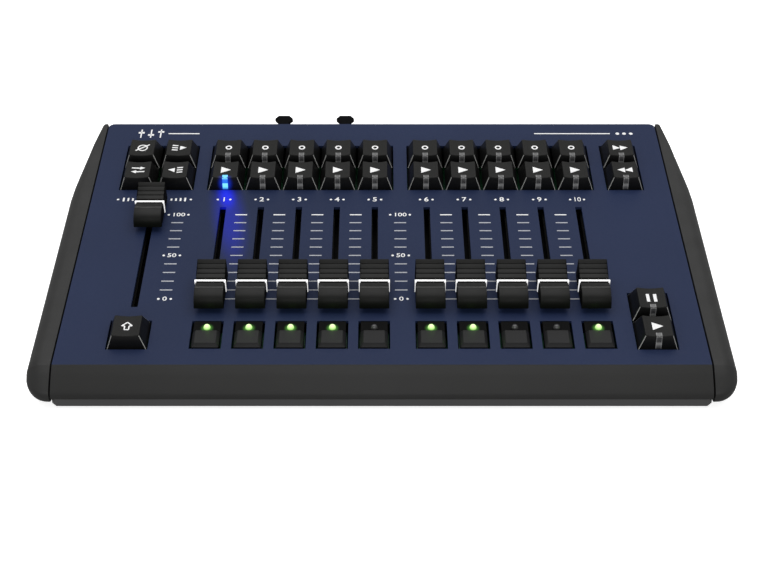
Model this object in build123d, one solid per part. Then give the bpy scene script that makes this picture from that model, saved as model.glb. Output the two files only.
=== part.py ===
from build123d import *
import os
from math import cos, radians, sin, tan

# Stage lighting control desk: a low wedge-shaped console with a sloping top panel,
# ten playback faders, a grand master fader, key caps and flash buttons.
# World frame: +X to the operator's right, +Y to the rear, +Z up, millimetres.
# Most parts are drawn in the deck frame, whose x is world X, whose y runs up the
# sloping panel from its front edge, and whose z stands out of the panel.

# ---------------------------------------------------------------- driving dimensions
TILT = 8.0                    # slope of the top panel, degrees
KEY_PITCH = 19.05             # standard key spacing, both ways
PANEL_WIDTH = 293.4
PANEL_DEPTH = 182.8
PANEL_LIP = 1.0               # how far the panel reaches forwards over the bezel's bend
PANEL_THICK = 1.6
PANEL_CORNER = 3.0
FOOT_HEIGHT = 2.0
FRONT_HEIGHT = 16.6           # panel's front edge above the underside of the tray
SHEET = 1.6                   # wall of the tray
LIP_GAP = 0.8                 # between the bezel's lip and the tray's front strip
STRIP_BACK = 1.5              # how far the strip's foot stands behind the lip's nose
NOTCH = (4.2, 3.4)            # slanting notch at each end of the strip
CHEEK_INNER = 147.2           # inner face of a cheek, from the centre line
CHEEK_OUTER = 159.2
REAR_LEAN = 27.0              # rear wall, degrees from upright, its top forwards

LEFT_COLUMNS = [-79.7 + KEY_PITCH * i for i in range(5)]
RIGHT_COLUMNS = [22.5 + KEY_PITCH * i for i in range(5)]
COLUMNS = LEFT_COLUMNS + RIGHT_COLUMNS
MASTER_X = -114.9             # grand master fader
MENU_X = (-124.5, -105.45)    # the block of four keys at the left
SIDE_KEY_X = 124.2            # the keys at the right
PLAY_ROW = 134.4
SELECT_ROW = PLAY_ROW + KEY_PITCH
RUN_ROW = 18.0
PAUSE_ROW = RUN_ROW + KEY_PITCH
SHIFT_ROW = 18.1
FLASH_ROW = 18.2

KEY_BASE = 18.0
KEY_TOP_X = 12.3
KEY_TOP_Y = 13.0
KEY_HEIGHT = 7.0
KEY_TOP_SHIFT = -0.9          # the top sits a little to the front of the base
KEY_SKIRT = 1.0               # how far the skirt reaches below the panel's surface
KEY_WALL = 1.4
STEM = 5.0                    # square stem of keys and flash buttons
STEM_END = -9.0
WELL = 5.5                    # square well of a switch

FLASH_X = 12.5
FLASH_Y = 17.4
FLASH_OPENING_X = 14.5
FLASH_OPENING_Y = 18.3
FLASH_UNDER = -2.0            # underside and shelf of a flash button
FLASH_SHELF = 0.3
FLASH_PAD = 10.2              # length of the raised front part
FLASH_PAD_HEIGHT = 1.9
FLASH_BEVEL = 1.5
LED_RADIUS = 1.6
LED_HEIGHT = 2.0
LED_BACK = 4.0                # lamp, behind the button's centre

SLOT_WIDTH = 3.2
SLOT_START = 36.8
SLOT_END = 111.1
FADER_ZERO = 44.85            # deck y of a fader's line at the front of its travel
FADER_FULL = 104.85           # and at the rear
MASTER_FULL = 103.9           # the grand master's, which is shown there
KNOB_WIDTH = 14.4
LEVER_X = 1.2
LEVER_Y = 8.0
LEVER_TOP = 7.0
LEVER_FOOT = -8.5
CARRIAGE = (5.8, 9.2, 2.5)
TRACK_X = 9.5
TRACK_LENGTH = 88.0
TRACK_TOP = -4.0
TRACK_WALL = 1.0
TRACK_HOLLOW_X = 6.6
TRACK_SLOT = 2.2

BOARD_TOP = -13.0
BOARD_THICK = 1.6
BOARD_X = 284.0
BOARD_START = 6.5
BOARD_END = 161.0
POST_RADIUS = 3.0
POSTS = [(-136, 60), (0, 30), (136, 60), (-136, 152), (6, 152), (136, 152)]
SWITCH = 13.2
SWITCH_TOP = -5.2

SOCKET_X = (-53.3, -19.9)     # the two line sockets, seen from the front
INLET_X = 52.0
INLET_BODY = (14.0, 11.0, 9.0)
INLET_PLATE = (17.0, 14.0, 1.2)
INLET_BORE = 3.1
INLET_PIN = 1.0
INLET_DEPTH = 7.4             # bore, from the rear wall inwards
FLANGE_X = 26.0
FLANGE_Y = 31.0
FLANGE_THICK = 2.0
FLANGE_TOP = 3.0              # from the rear wall's top edge down to the flange
SHELL_RADIUS = 12.0
SHELL_DEPTH = 20.0
LATCH_DOWN = -11.5            # latch stem, from the socket's centre
LATCH_REST = 5.5              # underside of the pad above the rear wall
LATCH_PAD = (9.6, 2.2, 4.3)
LATCH_CHAMFER = 1.9
LATCH_STEM = (5.2, 2.2)
LATCH_STEM_END = -3.5
LATCH_BOX = (9.4, 7.0, 7.5)   # housing of the stem
LATCH_POCKET = (6.0, 2.8, 6.2)
FIT = 0.2                     # clearance of a housing in its cut-out
SOCKET_BORE = 9.6             # radius of the ring that takes a plug's shell
SOCKET_BORE_DEPTH = 13.0
SOCKET_CORE = 7.6
RIM = 1.2                     # raised ring around the bore
RIM_RADIUS = 11.2

CHEEK_LIFT = 1.2              # a cheek's underside above the tray's
CHEEK_SHOULDER = 8.0
CHEEK_UNDER = 6.5
CHEEK_CORNER = 11.0
CHEEK_TAPER = 7.4             # how far the flank comes in at the rear, in plan
FOOT_RADIUS = 6.0
FOOT_INSET = 24.0
FOOT_X = 128.0

# ---------------------------------------------------------------- frames
FRONT_EDGE_Z = FOOT_HEIGHT + FRONT_HEIGHT
REAR_TOP_Z = FRONT_EDGE_Z + PANEL_DEPTH * sin(radians(TILT))
REAR_TOP_RUN = PANEL_DEPTH * cos(radians(TILT))
REAR_FOOT_RUN = REAR_TOP_RUN + (REAR_TOP_Z - FOOT_HEIGHT) * tan(radians(REAR_LEAN))
NOSE = (-12.8, -9.7)          # foremost point of the bezel, in the deck frame
NOSE_RUN = NOSE[0] * cos(radians(TILT)) - NOSE[1] * sin(radians(TILT))
NOSE_DROP = NOSE[0] * sin(radians(TILT)) + NOSE[1] * cos(radians(TILT))
FRONT_EDGE_Y = -(NOSE_RUN + REAR_FOOT_RUN) / 2      # centres the desk on Y = 0
NOSE_Y = FRONT_EDGE_Y + NOSE_RUN
REAR_FOOT_Y = FRONT_EDGE_Y + REAR_FOOT_RUN
NOSE_Z = FRONT_EDGE_Z + NOSE_DROP
TAPER_START = FRONT_EDGE_Y + 126.0

DECK = Location((0, FRONT_EDGE_Y, FRONT_EDGE_Z), (TILT, 0, 0))
# On the rear wall: x is world X, y runs down the wall from its top edge, z stands out.
REAR = Plane(
    origin=(0, FRONT_EDGE_Y + REAR_TOP_RUN, REAR_TOP_Z),
    x_dir=(1, 0, 0),
    z_dir=(0, cos(radians(REAR_LEAN)), sin(radians(REAR_LEAN))),
).location
SOCKET_DOWN = FLANGE_TOP + FLANGE_Y / 2
LATCH_BOX_TOP = FLANGE_TOP + 1.0


def deck_point(y, z):
    """World Y and Z of a deck point."""
    a = radians(TILT)
    return (FRONT_EDGE_Y + y * cos(a) - z * sin(a), FRONT_EDGE_Z + y * sin(a) + z * cos(a))


def block(x, y, z):
    """A box from three (low, high) pairs."""
    size = [high - low for low, high in (x, y, z)]
    centre = [(high + low) / 2 for low, high in (x, y, z)]
    return Pos(*centre) * Box(*size)


def side_prism(outline, x_low, x_high):
    """A prism along X from an outline of (Y, Z) points."""
    face = make_face(Polyline([(x_low, y, z) for y, z in outline], close=True))
    return extrude(face, amount=x_high - x_low, dir=(1, 0, 0))


def group(solids):
    """Separate solids that share one node."""
    return Compound(children=list(solids))


# ---------------------------------------------------------------- casing
def key_positions():
    """Name and deck position of every key cap."""
    places = {}
    for number, x in enumerate(COLUMNS, 1):
        places[f"select_key_{number}"] = (x, SELECT_ROW)
        places[f"play_key_{number}"] = (x, PLAY_ROW)
    for row, y in (("upper", SELECT_ROW), ("lower", PLAY_ROW)):
        for side, x in zip(("left", "right"), MENU_X):
            places[f"menu_key_{row}_{side}"] = (x, y)
    places["forward_key"] = (SIDE_KEY_X, SELECT_ROW)
    places["back_key"] = (SIDE_KEY_X, PLAY_ROW)
    places["pause_key"] = (SIDE_KEY_X, PAUSE_ROW)
    places["run_key"] = (SIDE_KEY_X, RUN_ROW)
    places["shift_key"] = (MASTER_X, SHIFT_ROW)
    return places


def key_openings():
    """Panel cut-outs around blocks of keys, as (x low, x high), (y low, y high)."""
    half = KEY_PITCH / 2
    main = (PLAY_ROW - half, SELECT_ROW + half)
    return [
        ((LEFT_COLUMNS[0] - half, LEFT_COLUMNS[-1] + half), main),
        ((RIGHT_COLUMNS[0] - half, RIGHT_COLUMNS[-1] + half), main),
        ((MENU_X[0] - half, MENU_X[1] + half), main),
        ((SIDE_KEY_X - half, SIDE_KEY_X + half), main),
        ((SIDE_KEY_X - half, SIDE_KEY_X + half), (RUN_ROW - half, PAUSE_ROW + half)),
        ((MASTER_X - half, MASTER_X + half), (SHIFT_ROW - half, SHIFT_ROW + half)),
    ]


def top_panel():
    plate = block((-PANEL_WIDTH / 2, PANEL_WIDTH / 2), (-PANEL_LIP, PANEL_DEPTH), (-PANEL_THICK, 0))
    corners = plate.edges().filter_by(Axis.Z).group_by(Axis.Y)[-1]
    plate = fillet(corners, PANEL_CORNER)
    through = (-PANEL_THICK - 1, 1)
    cuts = [block(x, y, through) for x, y in key_openings()]
    for x in COLUMNS:
        cuts.append(
            block(
                (x - FLASH_OPENING_X / 2, x + FLASH_OPENING_X / 2),
                (FLASH_ROW - FLASH_OPENING_Y / 2, FLASH_ROW + FLASH_OPENING_Y / 2),
                through,
            )
        )
    for x in COLUMNS + [MASTER_X]:
        cuts.append(block((x - SLOT_WIDTH / 2, x + SLOT_WIDTH / 2), (SLOT_START, SLOT_END), through))
    return DECK * (plate - cuts)


BEZEL_OUTER = [(-PANEL_LIP, 0), (-5.3, -2.2), (-8.2, -4.25), (-12.2, -7.1), NOSE]
BEZEL_INNER = [(-10.8, -9.7), (-10.4, -8.1), (-7.0, -5.8), (-3.6, -3.6)]
LEDGE = 7.5                   # the shelf that the panel's front edge lies on


def front_bezel():
    outline = BEZEL_OUTER + BEZEL_INNER
    outline += [(LEDGE, -3.6), (LEDGE, -PANEL_THICK), (-PANEL_LIP, -PANEL_THICK)]
    half = PANEL_WIDTH / 2
    return DECK * side_prism(outline, -half, half)


def base_tray():
    """Floor, low front strip, side walls and the leaning rear wall with its cut-outs."""
    floor = FOOT_HEIGHT
    strip_top = NOSE_Z - LIP_GAP
    front_foot = NOSE_Y + STRIP_BACK
    lean = tan(radians(REAR_LEAN))
    wall_top = deck_point(PANEL_DEPTH, -PANEL_THICK)
    # The outer rear face passes under the panel's rear edge.
    rear_top = (REAR_FOOT_Y - lean * (wall_top[1] - floor), wall_top[1])
    shelf_y, shelf_z = deck_point(LEDGE + LIP_GAP, -PANEL_THICK)
    outer = [
        (front_foot, floor),
        (REAR_FOOT_Y, floor),
        rear_top,
        (shelf_y, shelf_z),
        (shelf_y, strip_top),
        (NOSE_Y + STRIP_BACK / 2, strip_top),
    ]
    inset = SHEET / cos(radians(REAR_LEAN))
    inner = [
        (front_foot + SHEET, floor + SHEET),
        (REAR_FOOT_Y - inset - lean * SHEET, floor + SHEET),
        (rear_top[0] - inset - lean * 5, rear_top[1] + 5),
        (front_foot + SHEET, rear_top[1] + 5),
    ]
    tray = side_prism(outer, -CHEEK_INNER, CHEEK_INNER)
    tray -= side_prism(inner, -CHEEK_INNER + SHEET, CHEEK_INNER - SHEET)
    for side in (-1, 1):
        across, back = NOTCH
        notch = Polyline(
            [
                (side * (CHEEK_INNER - across), front_foot - 2),
                (side * (CHEEK_INNER + 1), front_foot - 2),
                (side * (CHEEK_INNER + 1), front_foot + back),
            ],
            close=True,
        )
        tray -= Pos(0, 0, floor - 1) * extrude(make_face(notch), amount=NOSE_Z, dir=(0, 0, 1))
    for x in SOCKET_X:
        hole = Pos(x, SOCKET_DOWN, 0) * Cylinder(SHELL_RADIUS + FIT, 4 * SHEET)
        half = LATCH_BOX[0] / 2 + FIT
        slot = block((x - half, x + half), (LATCH_BOX_TOP - FIT, SOCKET_DOWN), (-2 * SHEET, 2 * SHEET))
        tray -= REAR * (hole + slot)
    cutout = Box(INLET_BODY[0] + 2 * FIT, INLET_BODY[1] + 2 * FIT, 4 * SHEET)
    tray -= REAR * Pos(INLET_X, SOCKET_DOWN, 0) * cutout
    return tray + board_posts()


def board_posts():
    """Posts that carry the board, from the tray's floor up to the board's underside."""
    underside = BOARD_TOP - BOARD_THICK
    above_floor = block((-200, 200), (-200, 200), (FOOT_HEIGHT + SHEET / 2, 60))
    posts = []
    for x, y in POSTS:
        post = DECK * Pos(x, y, underside - 20) * Cylinder(POST_RADIUS, 40)
        posts.append(post & above_floor & DECK * block((-200, 200), (0, 200), (-60, underside)))
    return posts


def lengthwise(outline_face, length):
    """Extrudes a face drawn in X and Z along +Y."""
    return extrude(Plane.XZ * outline_face, amount=length, dir=(0, 1, 0))


def right_cheek():
    """End cheek: rounded outer edge, round front corner, taper in plan at the rear."""
    lip = [deck_point(y, z) for y, z in BEZEL_OUTER]
    floor = FOOT_HEIGHT + CHEEK_LIFT
    lean = tan(radians(REAR_LEAN))
    rear_edge = REAR_FOOT_Y - (REAR_TOP_Z - FOOT_HEIGHT) * lean
    rear_foot = REAR_FOOT_Y - CHEEK_LIFT * lean
    outline = [(NOSE_Y + STRIP_BACK, floor), (rear_foot, floor), (rear_edge, REAR_TOP_Z)]
    slab = side_prism(outline + lip, CHEEK_INNER, CHEEK_OUTER)

    # Plan: round front corner, straight flank, gentle taper towards the rear.
    inside = CHEEK_INNER - 1
    rear = REAR_FOOT_Y + 1
    rear_x = CHEEK_OUTER - CHEEK_TAPER
    taper_end = FRONT_EDGE_Y + REAR_TOP_RUN
    middle = (CHEEK_OUTER - CHEEK_TAPER * 0.44, (TAPER_START + taper_end) / 2)
    corner_x = CHEEK_OUTER - CHEEK_CORNER
    corner_y = NOSE_Y + CHEEK_CORNER
    plan = [
        Line((inside, NOSE_Y), (corner_x, NOSE_Y)),
        CenterArc((corner_x, corner_y), CHEEK_CORNER, 270, 90),
        Line((CHEEK_OUTER, corner_y), (CHEEK_OUTER, TAPER_START)),
        ThreePointArc((CHEEK_OUTER, TAPER_START), middle, (rear_x, taper_end)),
        Line((rear_x, taper_end), (rear_x, rear)),
        Line((rear_x, rear), (inside, rear)),
        Line((inside, rear), (inside, NOSE_Y)),
    ]
    slab &= extrude(make_face(plan), amount=80, dir=(0, 0, 1))

    # Shoulder: a quarter round that follows the sloping top.
    flat = CHEEK_OUTER - CHEEK_SHOULDER
    shoulder = [
        Polyline(
            (CHEEK_OUTER, -CHEEK_SHOULDER), (CHEEK_OUTER, -80), (inside, -80), (inside, 0), (flat, 0)
        ),
        CenterArc((flat, -CHEEK_SHOULDER), CHEEK_SHOULDER, 0, 90),
    ]
    slab &= DECK * Pos(0, -40, 0) * lengthwise(make_face(shoulder), 300)

    # Lower edge: a quarter round along the floor.
    under = CHEEK_OUTER - CHEEK_UNDER
    turn = floor + CHEEK_UNDER
    lower = [
        Polyline((CHEEK_OUTER, turn), (CHEEK_OUTER, 80), (inside, 80), (inside, floor), (under, floor)),
        CenterArc((under, turn), CHEEK_UNDER, 270, 90),
    ]
    slab &= Pos(0, -160, 0) * lengthwise(make_face(lower), 400)
    return slab


def side_cheeks():
    right = right_cheek()
    return group([right, mirror(right, about=Plane.YZ)])


def rubber_feet():
    pads = []
    for x in (-FOOT_X, FOOT_X):
        for y in (NOSE_Y + FOOT_INSET, REAR_FOOT_Y - FOOT_INSET):
            pad = Pos(x, y, FOOT_HEIGHT / 2) * Cylinder(FOOT_RADIUS, FOOT_HEIGHT)
            pads.append(chamfer(pad.edges().group_by(Axis.Z)[0], 0.5))
    return group(pads)


# ---------------------------------------------------------------- inside the casing
def fader_track(x):
    """Slotted metal channel that a fader's lever runs in."""
    height = TRACK_TOP - BOARD_TOP
    body = Box(TRACK_X, TRACK_LENGTH, height)
    body -= Box(TRACK_HOLLOW_X, TRACK_LENGTH - 8 * TRACK_WALL, height - 2 * TRACK_WALL)
    body -= Pos(0, 0, height / 2) * Box(TRACK_SLOT, SLOT_END - SLOT_START, 4 * TRACK_WALL)
    return Pos(x, (SLOT_START + SLOT_END) / 2, BOARD_TOP + height / 2) * body


def fader_tracks():
    return group(DECK * fader_track(x) for x in COLUMNS + [MASTER_X])


def control_board():
    """Circuit board with one switch under every key cap and flash button."""
    half = BOARD_X / 2
    solids = [block((-half, half), (BOARD_START, BOARD_END), (BOARD_TOP - BOARD_THICK, BOARD_TOP))]
    places = list(key_positions().values()) + [(x, FLASH_ROW) for x in COLUMNS]
    height = SWITCH_TOP - BOARD_TOP
    switch = Box(SWITCH, SWITCH, height) - Box(WELL, WELL, 2 * height)
    solids += [Pos(x, y, BOARD_TOP + height / 2) * switch for x, y in places]
    return group(DECK * solid for solid in solids)


# ---------------------------------------------------------------- rear wall
def line_socket(x):
    """Line socket as two solids: flange, shell and latch box in one, and the core in its bore."""
    half = FLANGE_X / 2
    flange = block((-half, half), (-FLANGE_Y / 2, FLANGE_Y / 2), (0, FLANGE_THICK))
    flange = fillet(flange.edges().filter_by(Axis.Z), 2.0)
    depth = SHELL_DEPTH + FLANGE_THICK
    body = flange + Pos(0, 0, FLANGE_THICK - depth / 2) * Cylinder(SHELL_RADIUS, depth)
    top = LATCH_BOX_TOP - SOCKET_DOWN
    wide, tall, deep = LATCH_BOX
    body += block((-wide / 2, wide / 2), (top, top + tall), (-deep, FLANGE_THICK))
    body += Pos(0, 0, FLANGE_THICK + RIM / 2) * Cylinder(RIM_RADIUS, RIM)
    floor = FLANGE_THICK + RIM - SOCKET_BORE_DEPTH
    body -= Pos(0, 0, floor + 10) * Cylinder(SOCKET_BORE, 20)
    wide, tall, deep = LATCH_POCKET
    pocket = block((-wide / 2, wide / 2), (-tall / 2, tall / 2), (-deep, FLANGE_THICK + 2 * RIM))
    body -= Pos(0, LATCH_DOWN, 0) * pocket
    core_length = SOCKET_BORE_DEPTH - RIM
    core = Pos(0, 0, floor + core_length / 2) * Cylinder(SOCKET_CORE, core_length)
    place = REAR * Pos(x, SOCKET_DOWN, 0)
    return [place * body, place * core]


def power_inlet():
    """Small round power inlet in a square body."""
    up = (Align.CENTER, Align.CENTER, Align.MIN)
    body = Pos(0, 0, -INLET_BODY[2]) * Box(*INLET_BODY, align=up) + Box(*INLET_PLATE, align=up)
    body -= Pos(0, 0, -INLET_DEPTH) * Cylinder(INLET_BORE, 2 * INLET_DEPTH, align=up)
    body += Pos(0, 0, -INLET_DEPTH) * Cylinder(INLET_PIN, INLET_DEPTH, align=up)
    return REAR * Pos(INLET_X, SOCKET_DOWN, 0) * body


def rear_sockets():
    left, right = (line_socket(x) for x in SOCKET_X)
    return group(left + right + [power_inlet()])


def latch(x):
    """Press tab that lets go of a plug: eight-sided pad on a flat stem."""
    pad = Pos(0, 0, LATCH_REST + LATCH_PAD[2] / 2) * Box(*LATCH_PAD)
    pad = chamfer(pad.edges().filter_by(Axis.Y), LATCH_CHAMFER)
    wide, tall = LATCH_STEM
    stem = block((-wide / 2, wide / 2), (-tall / 2, tall / 2), (LATCH_STEM_END, LATCH_REST))
    return REAR * Pos(x, SOCKET_DOWN + LATCH_DOWN, 0) * (pad + stem)


# ---------------------------------------------------------------- moving parts
def tapered(base_x, base_y, top_x, top_y, low, high, shift):
    """A four-sided tapered block whose top is moved along y by shift."""
    base = Pos(0, 0, low) * Rectangle(base_x, base_y)
    top = Pos(0, shift, high) * Rectangle(top_x, top_y)
    return loft([base, top])


def square_stem(top):
    return block((-STEM / 2, STEM / 2), (-STEM / 2, STEM / 2), (STEM_END, top))


def key_cap():
    """Hollow tapered cap with a square stem, centred on its switch."""
    cap = tapered(KEY_BASE, KEY_BASE, KEY_TOP_X, KEY_TOP_Y, -KEY_SKIRT, KEY_HEIGHT, KEY_TOP_SHIFT)
    hollow = KEY_BASE - 2 * KEY_WALL
    ceiling = KEY_HEIGHT - KEY_WALL
    narrow = 1.5 * KEY_WALL
    cap -= tapered(
        hollow, hollow, KEY_TOP_X - narrow, KEY_TOP_Y - narrow, -KEY_SKIRT, ceiling, KEY_TOP_SHIFT
    )
    return cap + square_stem(ceiling)


def flash_button():
    """Button with a bevelled raised pad in front and a lower shelf with a lamp behind."""
    half = FLASH_Y / 2
    cap = block((-FLASH_X / 2, FLASH_X / 2), (-half, half), (FLASH_UNDER, FLASH_SHELF))
    top_x, top_y = FLASH_X - 2 * FLASH_BEVEL, FLASH_PAD - 1.4 * FLASH_BEVEL
    shift = 0.3 * FLASH_BEVEL
    pad = tapered(FLASH_X, FLASH_PAD, top_x, top_y, FLASH_SHELF, FLASH_PAD_HEIGHT, shift)
    cap += Pos(0, FLASH_PAD / 2 - half, 0) * pad
    up = (Align.CENTER, Align.CENTER, Align.MIN)
    lamp = Cylinder(LED_RADIUS, LED_HEIGHT / 2, align=up)
    lamp += Pos(0, 0, LED_HEIGHT / 2) * Cone(LED_RADIUS, LED_RADIUS / 2, LED_HEIGHT / 2, align=up)
    cap += Pos(0, LED_BACK, FLASH_SHELF) * lamp
    return cap + square_stem(FLASH_UNDER)


# Side outline of a fader knob: (y, z) with its pointer line at y = 0.
KNOB_FRONT = [(-12.3, 2.9), (-11.6, 6.0), (-10.2, 8.1)]
KNOB_CREASE = [(-7.6, 9.3), (-4.4, 9.7)]
KNOB_LINE = (1.0, 9.2)
KNOB_SCOOP = (6.5, 9.7)
KNOB_REAR = [(12.0, 12.3), (12.0, 1.5)]


def fader():
    """Scooped knob and the flat lever that it is pushed onto."""
    side = [
        ThreePointArc(*KNOB_FRONT),
        Polyline(KNOB_FRONT[-1], *KNOB_CREASE, KNOB_LINE),
        ThreePointArc(KNOB_LINE, KNOB_SCOOP, KNOB_REAR[0]),
        Polyline(*KNOB_REAR, KNOB_FRONT[0]),
    ]
    face = Rot(0, 0, 90) * Rot(90, 0, 0) * make_face(side)
    knob = Pos(-KNOB_WIDTH / 2, 0, 0) * extrude(face, amount=KNOB_WIDTH, dir=(1, 0, 0))
    half_x, half_y = LEVER_X / 2, LEVER_Y / 2
    knob -= block((-half_x, half_x), (-half_y, half_y), (0, LEVER_TOP))
    lever = block((-half_x, half_x), (-half_y, half_y), (LEVER_FOOT, LEVER_TOP))
    carriage = Pos(0, 0, LEVER_FOOT - CARRIAGE[2] / 2) * Box(*CARRIAGE)
    return knob, lever + carriage


# ---------------------------------------------------------------- build
def all_parts():
    parts = {
        "top_panel": top_panel(),
        "front_bezel": front_bezel(),
        "base_tray": base_tray(),
        "side_cheeks": side_cheeks(),
        "fader_tracks": fader_tracks(),
        "control_board": control_board(),
        "rear_sockets": rear_sockets(),
        "rubber_feet": rubber_feet(),
    }
    for name, x in zip(("left", "right"), SOCKET_X):
        parts[f"socket_latch_{name}"] = latch(x)
    cap = key_cap()
    for name, (x, y) in key_positions().items():
        parts[name] = DECK * Pos(x, y, 0) * cap
    flash = flash_button()
    for number, x in enumerate(COLUMNS, 1):
        parts[f"flash_button_{number}"] = DECK * Pos(x, FLASH_ROW, 0) * flash
    faders = {f"fader_{number}": (x, FADER_ZERO) for number, x in enumerate(COLUMNS, 1)}
    faders["grand_master_fader"] = (MASTER_X, MASTER_FULL)
    for name, (x, y) in faders.items():
        parts[name] = group(DECK * Pos(x, y, 0) * solid for solid in fader())
    return parts


os.makedirs("parts", exist_ok=True)
for name, shape in all_parts().items():
    export_step(shape, f"parts/{name}.step")
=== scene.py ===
from math import cos, pi, radians, sin, sqrt, tan

import bmesh
import bpy
from mathutils import Matrix, Vector


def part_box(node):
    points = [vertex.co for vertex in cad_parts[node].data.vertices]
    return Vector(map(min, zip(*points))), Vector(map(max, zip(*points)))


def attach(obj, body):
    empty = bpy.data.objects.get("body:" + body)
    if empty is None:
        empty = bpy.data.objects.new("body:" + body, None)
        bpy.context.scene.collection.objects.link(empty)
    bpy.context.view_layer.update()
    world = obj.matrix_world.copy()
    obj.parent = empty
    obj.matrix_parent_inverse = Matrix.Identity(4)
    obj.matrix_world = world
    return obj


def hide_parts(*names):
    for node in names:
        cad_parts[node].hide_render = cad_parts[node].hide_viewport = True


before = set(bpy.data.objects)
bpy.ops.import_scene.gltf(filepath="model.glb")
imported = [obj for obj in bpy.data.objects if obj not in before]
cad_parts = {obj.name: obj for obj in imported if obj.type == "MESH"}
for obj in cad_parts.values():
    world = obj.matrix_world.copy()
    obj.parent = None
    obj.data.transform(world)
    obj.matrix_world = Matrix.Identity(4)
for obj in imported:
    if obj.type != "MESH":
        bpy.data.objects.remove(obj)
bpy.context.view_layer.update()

# Every piece is drawn in millimetres, most of them in the deck frame: x is the frame's X, t runs
# up the sloping panel from its front edge, and h stands out of the panel. MM turns them to metres.
# The dimensions are those of the CAD parts that the pieces stand for.
MM = 0.001
TILT = radians(8)
PANEL_THICK = 1.6
PANEL_LIP = 1.0
PANEL_DEPTH = 182.8
PANEL_HALF = 146.7
REAR_LEAN = radians(27)

panel_low, panel_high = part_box("top_panel")
FRONT_Y = panel_low.y + PANEL_LIP * MM * cos(TILT)
FRONT_Z = panel_low.z + (PANEL_THICK * cos(TILT) + PANEL_LIP * sin(TILT)) * MM
DECK = Matrix.Translation((0, FRONT_Y, FRONT_Z)) @ Matrix.Rotation(TILT, 4, "X")
SCALE = Matrix.Scale(MM, 4)
REAR_EDGE = DECK @ Vector((0, PANEL_DEPTH * MM, 0))
FOOT_HEIGHT = 2.0

# Places on the deck: the middle of each key and button, and the pointer line of each fader.
KEY_PITCH = 19.05
COLUMNS = [-79.7 + KEY_PITCH * i for i in range(5)] + [22.5 + KEY_PITCH * i for i in range(5)]
MASTER_X = -114.9
MENU_X = {"left": -124.5, "right": -105.45}
SIDE_X = 124.2
PLAY_ROW = 134.4
SELECT_ROW = PLAY_ROW + KEY_PITCH
RUN_ROW = 18.0
SHIFT_ROW = 18.1
FLASH_ROW = 18.2
FADER_ZERO = 44.85
FADER_FULL = 104.85
MASTER_FULL = 103.9
SCALE_ZERO = 42.35            # lowest mark of the printed scales; the highest is at FADER_FULL
LABEL_ROW = 117.1
EMBLEM_ROW = 173.9
LED_BACK = 4.0                # lamp, behind its button's middle
LED_RADIUS = 1.6
LIT_LAMPS = (1, 2, 3, 4, 6, 7, 10)


# ---------------------------------------- materials
def material(name):
    """A new node material and its Principled shader."""
    mat = bpy.data.materials.new(name)
    mat.use_nodes = True
    return mat, mat.node_tree.nodes["Principled BSDF"]


def node(mat, kind, **values):
    """Adds a node, setting attributes, or inputs where the name is one."""
    made = mat.node_tree.nodes.new(kind)
    for key, value in values.items():
        label = key.replace("_", " ")
        if label in made.inputs:
            made.inputs[label].default_value = value
        else:
            setattr(made, key, value)
    return made


def link(mat, source, target):
    mat.node_tree.links.new(source, target)


def object_point(mat):
    return node(mat, "ShaderNodeTexCoord").outputs["Object"]


def object_axes(mat):
    """Object coordinates, split into the outputs X, Y and Z."""
    split = node(mat, "ShaderNodeSeparateXYZ")
    link(mat, object_point(mat), split.inputs["Vector"])
    return split.outputs


def noise(mat, scale, detail=2.0, rough=0.5, stretch=(1, 1, 1)):
    """Noise in object space; scale is in cells per metre."""
    mapping = node(mat, "ShaderNodeMapping")
    mapping.inputs["Scale"].default_value = stretch
    link(mat, object_point(mat), mapping.inputs["Vector"])
    made = node(mat, "ShaderNodeTexNoise", Scale=scale, Detail=detail, Roughness=rough)
    link(mat, mapping.outputs["Vector"], made.inputs["Vector"])
    return made.outputs["Fac"]


def ramp(mat, factor, stops):
    """Colour ramp from (position, colour) stops."""
    made = node(mat, "ShaderNodeValToRGB")
    elements = made.color_ramp.elements
    while len(elements) < len(stops):
        elements.new(0.5)
    for element, (position, colour) in zip(elements, stops):
        element.position = position
        element.color = (*colour, 1)
    link(mat, factor, made.inputs["Fac"])
    return made.outputs["Color"]


def map_range(mat, factor, source, target, curve="LINEAR"):
    """Maps a value from the source (low, high) to the target pair, and clamps it there."""
    made = node(mat, "ShaderNodeMapRange", interpolation_type=curve)
    for key, value in zip(("From Min", "From Max", "To Min", "To Max"), (*source, *target)):
        made.inputs[key].default_value = value
    link(mat, factor, made.inputs["Value"])
    return made.outputs["Result"]


def span(mat, factor, low, high):
    """Maps noise, which mostly lies from 0.3 to 0.7, to low..high."""
    return map_range(mat, factor, (0.3, 0.7), (low, high))


def bump(mat, shader, height, strength, distance):
    made = node(mat, "ShaderNodeBump", Strength=strength, Distance=distance)
    link(mat, height, made.inputs["Height"])
    link(mat, made.outputs["Normal"], shader.inputs["Normal"])


def shade(colour, factor):
    return tuple(c * factor for c in colour)


def plastic(name, colour, rough, grain, grain_depth, mottle=0.10, specular=0.2):
    """Moulded plastic: faint mottling, uneven gloss and a fine spark-eroded grain.

    grain is in cells per metre, grain_depth in metres."""
    mat, shader = material(name)
    wide = noise(mat, 90, detail=3)
    tint = ramp(mat, wide, [(0.3, shade(colour, 1 - mottle)), (0.7, shade(colour, 1 + mottle))])
    link(mat, tint, shader.inputs["Base Color"])
    fine = noise(mat, grain, detail=3, rough=0.6)
    link(mat, span(mat, fine, rough - 0.06, rough + 0.08), shader.inputs["Roughness"])
    shader.inputs["Specular IOR Level"].default_value = specular
    bump(mat, shader, fine, 0.35, grain_depth)
    return mat


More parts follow.
